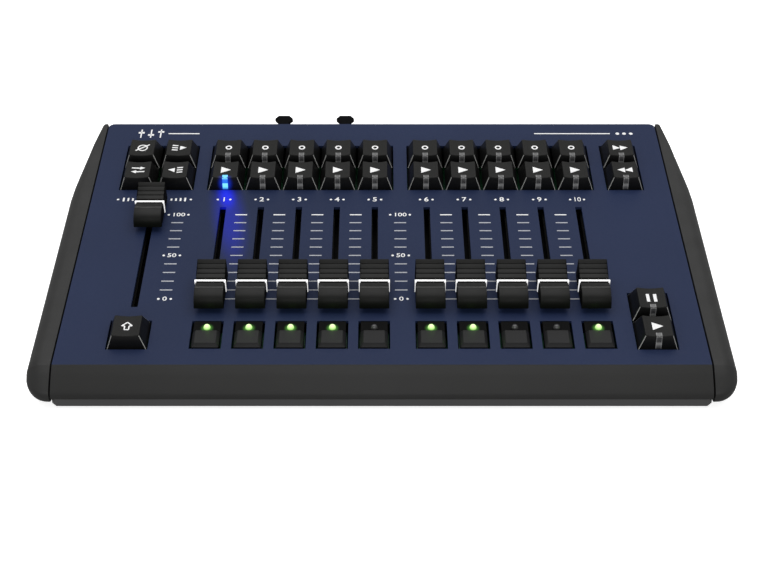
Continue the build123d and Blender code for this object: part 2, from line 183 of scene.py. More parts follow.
def powder_coat(name, colour, rough, grain=1100, depth=0.00006, mottle=0.07, specular=0.2):
    """Powder coat: orange-peel bump, finer grit over it and a slow drift of colour."""
    mat, shader = material(name)
    slow = noise(mat, 14, detail=4)
    tint = ramp(mat, slow, [(0.3, shade(colour, 1 - mottle)), (0.7, shade(colour, 1 + mottle))])
    link(mat, tint, shader.inputs["Base Color"])
    peel = noise(mat, grain, detail=2)
    link(mat, span(mat, peel, rough - 0.05, rough + 0.07), shader.inputs["Roughness"])
    shader.inputs["Specular IOR Level"].default_value = specular
    bump(mat, shader, peel, 0.25, depth)
    return mat


def print_ink(name, colour, lift=0.0):
    """Printed or moulded white, a little uneven; lift is an emission strength, a painted glow that makes
    the white brighter than the light on it.
    """
    mat, shader = material(name)
    film = noise(mat, 900, detail=3)
    link(mat, ramp(mat, film, [(0.3, shade(colour, 0.9)), (0.6, colour)]), shader.inputs["Base Color"])
    shader.inputs["Roughness"].default_value = 0.6
    shader.inputs["Emission Color"].default_value = (1, 1, 1, 1)
    shader.inputs["Emission Strength"].default_value = lift
    return mat


def metal(name, colour, rough, stretch=(1, 1, 1)):
    mat, shader = material(name)
    lines = noise(mat, 700, detail=4, stretch=stretch)
    tint = ramp(mat, lines, [(0.3, shade(colour, 0.85)), (0.7, colour)])
    link(mat, tint, shader.inputs["Base Color"])
    shader.inputs["Metallic"].default_value = 1.0
    link(mat, span(mat, lines, rough - 0.08, rough + 0.1), shader.inputs["Roughness"])
    bump(mat, shader, lines, 0.2, 0.00003)
    return mat


def lamp_dome(name, strength):
    """A lit lamp in a flash button: a pale core that turns green towards the rim."""
    mat, shader = material(name)
    mapping = node(mat, "ShaderNodeMapping")
    mapping.inputs["Location"].default_value = (0, -LED_BACK * MM, 0)
    link(mat, object_point(mat), mapping.inputs["Vector"])
    flat = node(mat, "ShaderNodeVectorMath", operation="MULTIPLY")
    flat.inputs[1].default_value = (1, 1, 0)
    link(mat, mapping.outputs["Vector"], flat.inputs[0])
    reach = node(mat, "ShaderNodeVectorMath", operation="LENGTH")
    link(mat, flat.outputs["Vector"], reach.inputs[0])
    share = map_range(mat, reach.outputs["Value"], (0, LED_RADIUS * MM), (0, 1))
    stops = [
        (0.0, (0.95, 1.0, 0.62)), (0.62, (0.80, 1.0, 0.5)), (0.92, (0.50, 0.80, 0.28)),
        (1.0, (0.20, 0.45, 0.08)),
    ]
    link(mat, ramp(mat, share, stops), shader.inputs["Emission Color"])
    shader.inputs["Emission Strength"].default_value = strength
    shader.inputs["Base Color"].default_value = (0.1, 0.2, 0.05, 1)
    grain = noise(mat, 1500)
    link(mat, span(mat, grain, 0.2, 0.35), shader.inputs["Roughness"])
    return mat


WINDOW_HALF = 1.35
WINDOW_TOP = 6.9


def window_base(name):
    """A light window's new material, its shader, and the share of its height at each point."""
    mat, shader = material(name)
    axes = object_axes(mat)
    grain = noise(mat, 1500)
    link(mat, span(mat, grain, 0.22, 0.38), shader.inputs["Roughness"])
    height = map_range(mat, axes["Z"], (0, WINDOW_TOP * MM), (0, 1))
    return mat, shader, axes, height


def lit_window(name):
    """Lit light window of a key: bright bands where it folds and where its light guide ends."""
    mat, shader, axes, height = window_base(name)
    stops = [
        (0.00, (0.00, 0.03, 0.16)), (0.10, (0.05, 0.30, 0.48)), (0.22, (0.18, 0.68, 0.78)),
        (0.46, (0.20, 0.72, 0.80)), (0.52, (0.00, 0.09, 0.50)), (0.78, (0.00, 0.10, 0.55)),
        (0.85, (0.10, 0.45, 0.75)), (1.00, (0.20, 0.72, 0.80)),
    ]
    link(mat, ramp(mat, height, stops), shader.inputs["Emission Color"])
    shader.inputs["Emission Strength"].default_value = 1.2
    shader.inputs["Base Color"].default_value = (0.02, 0.1, 0.4, 1)
    return mat


def dark_window(name):
    """Unlit light window of a key: the lit window's bands again in grey, painted light that the clear
    guide catches, and painted highlights along its side edges.
    """
    mat, shader, axes, height = window_base(name)
    stops = [
        (0.00, (0.02, 0.02, 0.022)), (0.12, (0.05, 0.05, 0.052)), (0.22, (0.11, 0.11, 0.11)),
        (0.36, (0.22, 0.22, 0.22)), (0.45, (0.15, 0.15, 0.15)), (0.52, (0.030, 0.030, 0.032)),
        (0.80, (0.022, 0.022, 0.024)), (0.88, (0.10, 0.10, 0.10)), (1.00, (0.11, 0.11, 0.11)),
    ]
    # Painted highlights along both side edges.
    side = node(mat, "ShaderNodeMath", operation="ABSOLUTE")
    link(mat, axes["X"], side.inputs[0])
    edge = map_range(mat, side.outputs["Value"], (0.85 * MM, 1.15 * MM), (0.0, 0.10), "SMOOTHSTEP")
    paler = node(mat, "ShaderNodeMix", data_type="RGBA", blend_type="ADD")
    paler.inputs["Factor"].default_value = 1.0
    link(mat, ramp(mat, height, stops), paler.inputs["A"])
    link(mat, edge, paler.inputs["B"])
    link(mat, paler.outputs["Result"], shader.inputs["Base Color"])
    return mat


def glow(mat, centre, reach, strength, turn=(0, 0, 0)):
    """Emission strength that falls off from a point of object space over an oval.

    centre is in metres; reach is the oval's half axes in millimetres."""
    mapping = node(mat, "ShaderNodeMapping", vector_type="TEXTURE")
    mapping.inputs["Location"].default_value = centre
    mapping.inputs["Rotation"].default_value = turn
    mapping.inputs["Scale"].default_value = [r * MM for r in reach]
    link(mat, object_point(mat), mapping.inputs["Vector"])
    far = node(mat, "ShaderNodeVectorMath", operation="LENGTH")
    link(mat, mapping.outputs["Vector"], far.inputs[0])
    return map_range(mat, far.outputs["Value"], (0, 1), (strength, 0), "SMOOTHERSTEP")


def lit_panel():
    """The panel's coat with the blue light that the lit key throws on it."""
    mat = powder_coat("panel_blue", (0.0125, 0.0215, 0.060), 0.50, specular=0.15)
    shader = mat.node_tree.nodes["Principled BSDF"]
    # A bright spot at the lit key's foot, and a long faint haze beside the slot.
    spot = DECK @ Vector(((COLUMNS[0] + 1.0) * MM, 120 * MM, 0))
    haze = DECK @ Vector(((COLUMNS[0] + 3.6) * MM, 103 * MM, 0))
    both = node(mat, "ShaderNodeMath", operation="ADD")
    link(mat, glow(mat, spot, (6.5, 15, 15), 0.60, (TILT, 0, radians(12))), both.inputs[0])
    link(mat, glow(mat, haze, (12, 50, 50), 0.25, (TILT, 0, radians(9.4))), both.inputs[1])
    link(mat, both.outputs["Value"], shader.inputs["Emission Strength"])
    shader.inputs["Emission Color"].default_value = (0.0, 0.004, 1.0, 1)
    return mat


def lit_by(mat, colour, centre, reach, strength):
    """Gives a plastic the stray light of the lamp beside it; centre and reach are in millimetres."""
    shader = mat.node_tree.nodes["Principled BSDF"]
    place = Vector(centre) * MM
    link(mat, glow(mat, place, reach, strength), shader.inputs["Emission Strength"])
    shader.inputs["Emission Color"].default_value = (*colour, 1)
    return mat


def knob_plastic(name, colour, specular):
    """Plastic of the fader knobs, with painted shade below the crest of the front: darker and less
    glossy there, and tinged green near the foot as a painted reflection of the green lamps.
    """
    mat = plastic(name, colour, 0.45, 2600, 0.00003, specular=specular)
    shader = mat.node_tree.nodes["Principled BSDF"]
    height = map_range(mat, object_axes(mat)["Z"], (5.0 * MM, 9.4 * MM), (0, 1), "SMOOTHSTEP")
    shaded_base = node(mat, "ShaderNodeMix", data_type="RGBA", blend_type="MULTIPLY")
    shaded_base.inputs["Factor"].default_value = 1.0
    source = shader.inputs["Base Color"].links[0].from_socket
    # Painted shade: the base colour darkens below the crest, tinged green near the foot as a painted
    # reflection of the green lamps.
    painted_shade = ramp(mat, height, [(0.0, (0.42, 0.50, 0.36)), (0.55, (0.42, 0.46, 0.40)), (1.0, (1, 1, 1))])
    link(mat, source, shaded_base.inputs["A"])
    link(mat, painted_shade, shaded_base.inputs["B"])
    link(mat, shaded_base.outputs["Result"], shader.inputs["Base Color"])
    # Painted shade too: the specular level falls to 35 % of its value at the foot.
    shaded_specular = node(mat, "ShaderNodeMath", operation="MULTIPLY_ADD")
    shaded_specular.inputs[1].default_value = specular * 0.65
    shaded_specular.inputs[2].default_value = specular * 0.35
    link(mat, height, shaded_specular.inputs[0])
    link(mat, shaded_specular.outputs["Value"], shader.inputs["Specular IOR Level"])
    return mat


def key_top_plastic(name):
    return plastic(name, (0.0070, 0.0070, 0.0063), 0.55, 3000, 0.00004)


def key_side_plastic(name):
    return plastic(name, (0.006, 0.006, 0.006), 0.32, 2600, 0.00002)


def flash_plastic(name):
    return plastic(name, (0.0095, 0.0095, 0.0098), 0.45, 2600, 0.00003)


def shelf_plastic(name):
    return plastic(name, (0.0016, 0.0016, 0.0016), 0.5, 2600, 0.00003, specular=0.06)


MAT = {
    "panel": lit_panel(),
    "bezel": powder_coat("bezel_grey", (0.025, 0.025, 0.0245), 0.55, grain=1500),
    "tray": powder_coat("tray_grey", (0.073, 0.073, 0.074), 0.5, grain=1500),
    "cheek": plastic("cheek_grey", (0.026, 0.026, 0.0255), 0.46, 1900, 0.00008),
    "key_top": key_top_plastic("key_top_grey"),
    "key_side": key_side_plastic("key_side_grey"),
    "key_top_lit": lit_by(
        key_top_plastic("key_top_lit_grey"),
        (0.005, 0.07, 1.0), (0, -7.0, 5.5), (4.4, 2.4, 8), 0.40,
    ),
    "key_side_lit": lit_by(
        key_side_plastic("key_side_lit_grey"),
        (0.004, 0.05, 1.0), (0, -8.0, 3.2), (4.8, 6, 6.5), 0.60,
    ),
    # Pale glossy plastic of the painted highlights along the key caps' corners.
    "key_corner_highlight": plastic("key_corner_highlight_grey", (0.30, 0.30, 0.29), 0.3, 2600, 0.00001),
    "knob": knob_plastic("fader_grey", (0.0085, 0.0085, 0.008), 0.2),
    # Pale plastic of the painted highlight along the fader knobs' crest.
    "knob_crest_highlight": plastic("fader_crest_highlight_grey", (0.10, 0.10, 0.098), 0.35, 2600, 0.00001),
    "flash": flash_plastic("flash_grey"),
    "flash_lit": lit_by(
        flash_plastic("flash_lit_grey"),
        (0.25, 1.0, 0.10), (0, LED_BACK - 1.6, 1.0), (3.0, 1.9, 3.0), 0.10,
    ),
    "flash_shelf": shelf_plastic("flash_shelf_grey"),
    "flash_shelf_lit": lit_by(
        shelf_plastic("flash_shelf_lit_grey"),
        (0.28, 1.0, 0.14), (0, LED_BACK, 0.4), (3.6, 3.6, 3.6), 0.42,
    ),
    "socket": plastic("socket_black", (0.010, 0.010, 0.010), 0.42, 1800, 0.00004),
    "latch": plastic("latch_black", (0.0015, 0.0015, 0.002), 0.5, 1800, 0.00003, specular=0.04),
    # Near-black plastic put in recesses, holes and grooves: painted shade.
    "recess_shade": plastic("recess_shade_black", (0.002, 0.002, 0.002), 0.7, 1800, 0.00002, specular=0.05),
    "rubber": plastic("foot_rubber", (0.012, 0.012, 0.012), 0.8, 1500, 0.0001),
    "ink": print_ink("legend_white", (0.88, 0.88, 0.88)),
    "ink_soft": print_ink("legend_grey", (0.42, 0.43, 0.47)),
    # The pointer line's white glows a little: painted light that keeps its flanks bright.
    "line": print_ink("pointer_white", (0.95, 0.95, 0.95), lift=0.6),
    "track": metal("track_metal", (0.012, 0.012, 0.012), 0.6, stretch=(1, 0.05, 1)),
    "steel": metal("screw_steel", (0.10, 0.10, 0.105), 0.32),
    "contact": metal("contact_gold", (0.75, 0.55, 0.25), 0.25),
    "board": plastic("board_green", (0.012, 0.07, 0.03), 0.3, 900, 0.00003),
    "window": dark_window("window_grey"),
    "window_lit": lit_window("window_blue"),
    "led_on": lamp_dome("led_green", 1.05),
    "led_off": plastic("led_clear", (0.05, 0.05, 0.05), 0.16, 1500, 0.00001, specular=0.5),
}


# ---------------------------------------- mesh tools
def flat(x, y):
    """The surface that most outlines are drawn on."""
    return 0.0


class Shape:
    """A mesh in the making: closed shells in millimetres, each with its own material."""

    def __init__(self):
        self.bm = bmesh.new()
        self.slots = []

    def slot(self, key):
        if key not in self.slots:
            self.slots.append(key)
        return self.slots.index(key)

    def face(self, corners, key, smooth):
        made = self.bm.faces.new(corners)
        made.material_index = self.slot(key)
        made.smooth = smooth

    def loft(self, rings, key, smooth=True, keys=None, caps=True):
        """A closed shell through rings of points; keys gives each band its own material.

        Returns the rings' vertices."""
        rows = [[self.bm.verts.new(point) for point in ring] for ring in rings]
        count = len(rows[0])
        for band, (low, high) in enumerate(zip(rows, rows[1:])):
            band_key = keys[band] if keys else key
            for i in range(count):
                j = (i + 1) % count
                self.face((low[i], low[j], high[j], high[i]), band_key, smooth)
        if caps:
            self.face(rows[0][::-1], keys[0] if keys else key, False)
            self.face(rows[-1], keys[-1] if keys else key, False)
        return rows

    def prism(self, outline, low, high, key, surface=flat):
        """A flat-sided shape from an outline in x and y; surface(x, y) adds to each height."""
        rings = [[(x, y, z + surface(x, y)) for x, y in outline] for z in (low, high)]
        self.loft(rings, key, smooth=False)

    def box(self, x, y, z, key):
        """A box from three (low, high) pairs."""
        outline = [(x[0], y[0]), (x[1], y[0]), (x[1], y[1]), (x[0], y[1])]
        self.prism(outline, z[0], z[1], key)

    def soft_box(self, x, y, z, key, edge=0.3):
        """A box with bevelled edges, from three (low, high) pairs."""
        middle = ((x[0] + x[1]) / 2, (y[0] + y[1]) / 2)
        rings = []
        for height, cut in ((z[0], edge), (z[0] + edge, 0), (z[1] - edge, 0), (z[1], edge)):
            size = (x[1] - x[0] - 2 * cut, y[1] - y[0] - 2 * cut)
            rings.append(ring_rect(*size, edge, height, middle))
        self.loft(rings, key)

    def cylinder(self, centre, radius, low, high, key, sides):
        self.loft([ring_circle(centre, radius, height, sides) for height in (low, high)], key)

    def finish(self, name, body, matrix, sharp):
        """Turns the shells into an object that rides on a body; sharp is the least angle of an edge
        that stays hard."""
        bmesh.ops.recalc_face_normals(self.bm, faces=self.bm.faces)
        mesh = bpy.data.meshes.new(name)
        self.bm.transform(SCALE)
        self.bm.to_mesh(mesh)
        self.bm.free()
        for key in self.slots:
            mesh.materials.append(MAT[key])
        mesh.set_sharp_from_angle(angle=radians(sharp))
        made = bpy.data.objects.new(name, mesh)
        bpy.context.scene.collection.objects.link(made)
        made.matrix_world = matrix
        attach(made, body)
        return made


def ring_circle(centre, radius, height, sides):
    turns = [2 * pi * i / sides for i in range(sides)]
    return [(centre[0] + radius * cos(a), centre[1] + radius * sin(a), height) for a in turns]


def ring_rect(width, depth, radius, height, middle=(0, 0), corner=3, side=1, surface=flat):
    """Rounded rectangle, anticlockwise, with corner steps round each corner and side steps along
    each straight run; surface(x, y) adds to each height."""
    points = []
    centres = [(1, 1), (-1, 1), (-1, -1), (1, -1)]
    for quarter, (sx, sy) in enumerate(centres):
        cx, cy = sx * (width / 2 - radius), sy * (depth / 2 - radius)
        for step in range(corner + 1):
            a = pi / 2 * (quarter + step / corner)
            points.append((cx + radius * cos(a), cy + radius * sin(a)))
        nx, ny = centres[(quarter + 1) % 4]
        start = points[-1]
        a = pi / 2 * (quarter + 1)
        end = (nx * (width / 2 - radius) + radius * cos(a), ny * (depth / 2 - radius) + radius * sin(a))
        for step in range(1, side):
            f = step / side
            points.append((start[0] + f * (end[0] - start[0]), start[1] + f * (end[1] - start[1])))
    return [(x + middle[0], y + middle[1], height + surface(x, y)) for x, y in points]


def on_deck(x, t, h=0.0):
    """The deck frame, moved to a point of the deck."""
    return DECK @ Matrix.Translation((x * MM, t * MM, h * MM))


# ---------------------------------------- key caps
KEY_BASE = 18.0
KEY_TOP = (12.3, 13.0)
KEY_HEIGHT = 7.0
KEY_SHIFT = -0.9              # the top sits a little to the front of the base
KEY_WALL = 1.4
KEY_SKIRT = 1.0               # how far the skirt reaches below the panel's surface
DISH = 0.75                   # depth of the scooped top
STEM = 2.5                    # half of a stem's side
STEM_END = -9.0
KEY_CORNER = 4                # steps round a cap's corner
KEY_RUN = 4                   # and along its side


def dish(x, y):
    """Drop of the scooped top at x, the same all along y."""
    return -DISH * max(0.0, 1 - (2 * x / KEY_TOP[0]) ** 2)


def key_cap(shape, side, top):
    """Outer shell, rim, hollow inside and stem of a key cap; side and top name materials."""
    def ring(width, depth, radius, height, shift, surface=flat):
        return ring_rect(width, depth, radius, height, (0, shift), KEY_CORNER, KEY_RUN, surface)

    inner = KEY_BASE - 2 * KEY_WALL
    ceiling = inner - 3.6
    rings = [
        ring(ceiling, ceiling, 0.6, KEY_HEIGHT - 1.9, KEY_SHIFT),
        ring(inner, inner, 0.6, -KEY_SKIRT, 0),
        ring(KEY_BASE - 0.3, KEY_BASE - 0.3, 0.5, -KEY_SKIRT, 0),
        ring(KEY_BASE, KEY_BASE, 0.55, -KEY_SKIRT + 0.2, 0),
        ring(KEY_TOP[0] + 0.35, KEY_TOP[1] + 0.35, 0.5, KEY_HEIGHT - 0.4, KEY_SHIFT, dish),
    ]
    keys = [side] * (len(rings) - 1)
    # The top's rounded rim, and then its scooped face in shrinking rings.
    for grow, rise in ((0.16, -0.16), (0.05, -0.04), (-0.12, 0.0)):
        rings.append(ring(KEY_TOP[0] + grow, KEY_TOP[1] + grow, 0.5, KEY_HEIGHT + rise, KEY_SHIFT, dish))
        keys.append(top)
    for share in (0.85, 0.6, 0.35, 0.12):
        size = (KEY_TOP[0] * share, KEY_TOP[1] * share)
        rings.append(ring(*size, 0.5 * share, KEY_HEIGHT, KEY_SHIFT, dish))
        keys.append(top)
    rows = shape.loft(rings, top, keys=keys)
    polish_edges(shape, rows[3], rows[4])
    shape.box((-STEM, STEM), (-STEM, STEM), (STEM_END, KEY_HEIGHT - 1.6), side)


def polish_edges(shape, low, high):
    """Paints the two middle faces of each rounded corner a pale glossy grey: a painted highlight along
    the corner.
    """
    for quarter in range(4):
        for step in (1, 2):
            i = quarter * (KEY_CORNER + KEY_RUN) + step
            verts = {low[i], low[i + 1], high[i], high[i + 1]}
            for face in low[i].link_faces:
                if set(face.verts) == verts:
                    face.material_index = shape.slot("key_corner_highlight")


def key_window(shape, key):
    """Light window that folds from the top's front part down the front face."""
    front = KEY_SHIFT - KEY_TOP[1] / 2
    crown = KEY_HEIGHT - DISH + 0.03
    line = [
        (front + 2.3, crown + 0.05), (front + 0.5, crown + 0.05), (front - 0.02, crown - 0.05),
        (front - 0.34, crown - 0.45), (front - 1.22, 1.6), (front - 1.52, 0.1),
    ]
    rings = []
    for t, h in line:
        back, face = (t + 0.35, h - 0.3), (t - 0.03, h + 0.01)
        rings.append(
            [(-WINDOW_HALF, *back), (WINDOW_HALF, *back), (WINDOW_HALF, *face), (-WINDOW_HALF, *face)]
        )
    # The rear end stands upright.
    rear = rings[0][2][1]
    rings[0] = [(x, rear, z) for x, y, z in rings[0]]
    shape.loft(rings, key, smooth=False)


def mark(shape, outline):
    """A printed mark on the scooped top of a key."""
    shifted = [(x, y + KEY_SHIFT) for x, y in outline]
    shape.prism(shifted, KEY_HEIGHT - 0.25, KEY_HEIGHT + 0.035, "ink", dish)


def block(x, y, half_x, half_y):
    """Outline of an upright rectangle about (x, y)."""
    left, right, low, high = x - half_x, x + half_x, y - half_y, y + half_y
    return [(left, low), (right, low), (right, high), (left, high)]


def bar(x0, y0, x1, y1, width):
    """Outline of a straight stroke."""
    dx, dy = x1 - x0, y1 - y0
    long = sqrt(dx * dx + dy * dy)
    nx, ny = -dy / long * width / 2, dx / long * width / 2
    return [(x0 - nx, y0 - ny), (x1 - nx, y1 - ny), (x1 + nx, y1 + ny), (x0 + nx, y0 + ny)]


def triangle(x, size=4.3, way=1):
    """A triangle whose flat side starts at x and whose point looks along way."""
    tip = x + way * size
    outline = [(x, -size / 2), (tip, 0), (x, size / 2)]
    return outline if way > 0 else outline[::-1]


def ring_marks(shape, radius, width, rise=0.0, sides=20):
    """A ring of short strokes about (0, rise) on a key's top."""
    inner, outer = radius - width / 2, radius + width / 2
    for i in range(sides):
        a0, a1 = 2 * pi * i / sides, 2 * pi * (i + 1) / sides
        corners = ((inner, a0), (outer, a0), (outer, a1), (inner, a1))
        mark(shape, [(r * cos(a), rise + r * sin(a)) for r, a in corners])


def disc(x, y, radius):
    return [(p, q) for p, q, height in ring_circle((x, y), radius, 0, 16)]


def draw_select(shape):
    ring_marks(shape, 1.32, 0.78, rise=0.3)


def draw_play(shape):
    mark(shape, triangle(-2.4, 5.0))


def draw_forward(shape):
    mark(shape, triangle(-3.9, 3.9))
    mark(shape, triangle(-0.1, 3.9))


def draw_back(shape):
    mark(shape, triangle(3.9, 3.9, way=-1))
    mark(shape, triangle(0.1, 3.9, way=-1))


def draw_pause(shape):
    for x in (-1.65, 1.65):
        mark(shape, block(x, 0, 0.75, 2.6))


def draw_blackout(shape):
    """A lamp, struck through."""
    ring_marks(shape, 2.35, 0.7)
    mark(shape, bar(-3.4, -2.6, 3.4, 2.6, 0.75))


def draw_page(shape, way):
    """Three lines of a page and an arrow that turns it."""
    for y in (1.9, 0.0, -1.9):
        mark(shape, bar(-3.7 * way, y, -0.7 * way, y, 0.8))
    mark(shape, triangle(0.4 * way, 3.4, way=way))


def draw_swap(shape):
    """Two arrows that pass each other."""
    for y, way in ((1.5, 1), (-1.5, -1)):
        mark(shape, bar(-3.4 * way, y, 1.0 * way, y, 0.8))
        tip = [(0.9 * way, y - 1.25), (3.5 * way, y), (0.9 * way, y + 1.25)]
        mark(shape, tip if way > 0 else tip[::-1])


def draw_shift(shape):
    """An outlined arrow that points up."""
    outline = [(-1.0, -2.3), (1.0, -2.3), (1.0, 0.1), (2.4, 0.1), (0, 2.5), (-2.4, 0.1), (-1.0, 0.1)]
    for (x0, y0), (x1, y1) in zip(outline, outline[1:] + outline[:1]):
        mark(shape, bar(x0, y0, x1, y1, 0.6))


def make_key(name, x, t, draw, window=None):
    """One cap; draw(shape) prints its sign, and window names the material of its light window."""
    shape = Shape()
    lit = "_lit" if window == "window_lit" else ""
    key_cap(shape, "key_side" + lit, "key_top" + lit)
    draw(shape)
    if window:
        key_window(shape, window)
    made = shape.finish(name + "_cap", name, on_deck(x, t), sharp=50)
    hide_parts(name)


def make_keys():
    for number, x in enumerate(COLUMNS, 1):
        make_key(f"select_key_{number}", x, SELECT_ROW, draw_select, "window")
        lit = "window_lit" if number == 1 else "window"
        make_key(f"play_key_{number}", x, PLAY_ROW, draw_play, lit)
    make_key("menu_key_upper_left", MENU_X["left"], SELECT_ROW, draw_blackout)
    make_key("menu_key_upper_right", MENU_X["right"], SELECT_ROW, lambda s: draw_page(s, 1))
    make_key("menu_key_lower_left", MENU_X["left"], PLAY_ROW, draw_swap)
    make_key("menu_key_lower_right", MENU_X["right"], PLAY_ROW, lambda s: draw_page(s, -1))
    make_key("forward_key", SIDE_X, SELECT_ROW, draw_forward, "window")
    make_key("back_key", SIDE_X, PLAY_ROW, draw_back, "window")
    make_key("pause_key", SIDE_X, RUN_ROW + KEY_PITCH, draw_pause, "window")
    make_key("run_key", SIDE_X, RUN_ROW, draw_play, "window")
    make_key("shift_key", MASTER_X, SHIFT_ROW, draw_shift)


# ---------------------------------------- flash buttons
FLASH = (12.5, 17.4)
FLASH_UNDER = -2.0
FLASH_SHELF = 0.3
FLASH_PAD = 10.2              # length of the raised front part
FLASH_PAD_TOP = 1.88
FLASH_BEVEL = 1.5
LAMP_SIDES = 24


def make_flash(number, x):
    """A flash button: a low shelf with the lamp at the rear, and a raised pad in front of it."""
    shape = Shape()
    if number in LIT_LAMPS:
        shelf, pad, lamp = "flash_shelf_lit", "flash_lit", "led_on"
    else:
        shelf, pad, lamp = "flash_shelf", "flash", "led_off"
    width, depth = FLASH
    shape.loft([
        ring_rect(width - 0.4, depth - 0.4, 0.4, FLASH_UNDER),
        ring_rect(width, depth, 0.5, FLASH_UNDER + 0.2),
        ring_rect(width, depth, 0.5, FLASH_SHELF - 0.2),
        ring_rect(width - 0.35, depth - 0.35, 0.4, FLASH_SHELF),
    ], shelf)
    foot = (0, (FLASH_PAD - depth) / 2)
    crown = (0, foot[1] + 0.3 * FLASH_BEVEL)
    top_x, top_y = width - 2 * FLASH_BEVEL, FLASH_PAD - 1.4 * FLASH_BEVEL
    shape.loft([
        ring_rect(width - 0.1, FLASH_PAD - 0.1, 0.5, 0.0, foot),
        ring_rect(width - 0.1, FLASH_PAD - 0.1, 0.5, 0.35, foot),
        ring_rect(width - 0.4, FLASH_PAD - 0.35, 0.5, 0.6, foot),
        ring_rect(top_x + 0.5, top_y + 0.4, 0.6, FLASH_PAD_TOP - 0.16, crown),
        ring_rect(top_x, top_y, 0.5, FLASH_PAD_TOP, crown),
    ], pad)
    shape.box((-STEM, STEM), (-STEM, STEM), (STEM_END, FLASH_UNDER + 0.1), "flash_shelf")
    centre = (0, LED_BACK)
    collar = []
    for grow, height in ((0.35, 0.2), (0.3, 0.45), (0.05, 0.5)):
        collar.append(ring_circle(centre, LED_RADIUS + grow, height, LAMP_SIDES))
    shape.loft(collar, shelf)
    dome = []
    for step in range(8):
        a = step / 7.4 * pi / 2    # stops short of the pole
        dome.append(ring_circle(centre, LED_RADIUS * cos(a) ** 0.8, 0.4 + 1.9 * sin(a), LAMP_SIDES))
    shape.loft(dome, lamp)
    name = f"flash_button_{number}"
    made = shape.finish(name + "_cap", name, on_deck(x, FLASH_ROW), sharp=30)
    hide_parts(name)


# ---------------------------------------- faders
KNOB_HALF = 6.75
KNOB_FLARE = 0.25             # added to each side of the knob at its foot
KNOB_FRONT = -12.3
KNOB_REAR = 12.0
LINE_HALF = 7.2
LINE = (-0.30, 0.7)           # front and rear of the pointer line
LINE_TOP = 9.2
LINE_FOOT = 2.4
RIBS = [(2.1, 4.55), (5.05, 7.1), (7.6, 9.6), (10.1, 11.7)]
LEVER = ((-0.6, 0.6), (-4, 4), (-8.6, 3.0))
CARRIAGE = ((-2.9, 2.9), (-4.6, 4.6), (-11, -8.5))


def scoop(t):
    """Height of the finger scoop behind the pointer line."""
    f = (t - 1.0) / 11.0
    return LINE_TOP + 3.1 * (0.13 * f + 0.87 * f ** 2.4)


def knob_side():
    """Side outline of a fader knob, as (t, h), from the front foot round to the rear foot."""
    front = [
        (KNOB_FRONT, 2.9), (-12.25, 4.2), (-11.9, 5.6), (-11.25, 6.9), (-10.3, 8.0), (-9.1, 8.75),
        (-7.6, 9.25), (-6.2, 9.5), (-5.3, 9.56), (-5.15, 9.68), (-4.85, 9.7), (-4.7, 9.52),
    ]
    middle = [
        (-4.6, 9.4), (-1.4, 9.2), (-1.35, 8.2), (LINE[0], 8.2), (LINE[0], 9.1), (LINE[1], 9.1),
        (LINE[1], 8.2), (1.45, 8.2), (1.5, 8.8),
    ]
    ribs = []
    for low, high in RIBS:
        ribs += [
            (low - 0.05, scoop(low) - 0.45), (low, scoop(low) - 0.05),
            (low + 0.15, scoop(low + 0.15) + 0.05),
            (high - 0.1, scoop(high) + 0.05), (high + 0.03, scoop(high) - 0.45),
        ]
    # The last rib runs into the rear edge.
    return front + middle + ribs[:-2] + [(11.75, 12.25), (KNOB_REAR, 11.9), (KNOB_REAR, 1.5)]


def inset(outline, amount):
    """The closed outline moved inwards by amount."""
    moved = []
    count = len(outline)
    for i, (x, y) in enumerate(outline):
        ax, ay = outline[i - 1]
        bx, by = outline[(i + 1) % count]
        dx, dy = bx - ax, by - ay
        long = sqrt(dx * dx + dy * dy)
        moved.append((x + amount * dy / long, y - amount * dx / long))
    return moved


def make_fader(name, x, t):
    """Knob, lever and carriage of a fader whose pointer line stands at t."""
    shape = Shape()
    side = knob_side()
    rings = []
    for place, pull in ((-1, 0.4), (-0.985, 0.15), (-0.95, 0.0), (0.95, 0.0), (0.985, 0.15), (1, 0.4)):
        ring = []
        for a, b in inset(side, pull):
            half = KNOB_HALF + KNOB_FLARE * (1 - min(1.0, b / LINE_TOP))
            ring.append((place * half, a, b))
        rings.append(ring)
    shape.loft(rings, "knob")
    for face in shape.bm.faces:
        middle = face.calc_center_median()
        # A pale plastic on the crest: a painted highlight.
        on_crest = -5.2 < middle.y < -4.8 and middle.z > 9.6
        # A near-black plastic in the groove beside the pointer line: painted shade.
        in_groove = abs(middle.y) < 1.52 and 8.0 < middle.z < 9.05
        if on_crest:
            face.material_index = shape.slot("knob_crest_highlight")
        if in_groove:
            face.material_index = shape.slot("recess_shade")
    # White pointer line over the crest and down both flanks.
    shape.box((-LINE_HALF, LINE_HALF), LINE, (LINE_TOP - 0.15, LINE_TOP), "line")
    for way in (-1, 1):
        flank = sorted((way * (KNOB_HALF - 0.4), way * LINE_HALF))
        shape.box(flank, LINE, (LINE_FOOT, LINE_TOP - 0.1), "line")
    shape.box(*LEVER, "track")
    shape.soft_box(*CARRIAGE, "track")
    made = shape.finish(name + "_knob", name, on_deck(x, t), sharp=35)
    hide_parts(name)


# ---------------------------------------- printed legends
LEGEND_RISE = 0.05            # a print stands this far out of the panel
LEGEND_SINK = 0.1             # and reaches this far into it
DOT = 0.62
DASH = (2.95, 0.35)           # half sizes of a scale's mark


def print_mark(shape, outline, key="ink"):
    shape.prism(outline, -LEGEND_SINK, LEGEND_RISE, key)


def print_dots(shape, x, t, reach):
    """A dot on each side of a legend."""
    for way in (-1, 1):
        print_mark(shape, disc(x + way * reach, t, DOT))


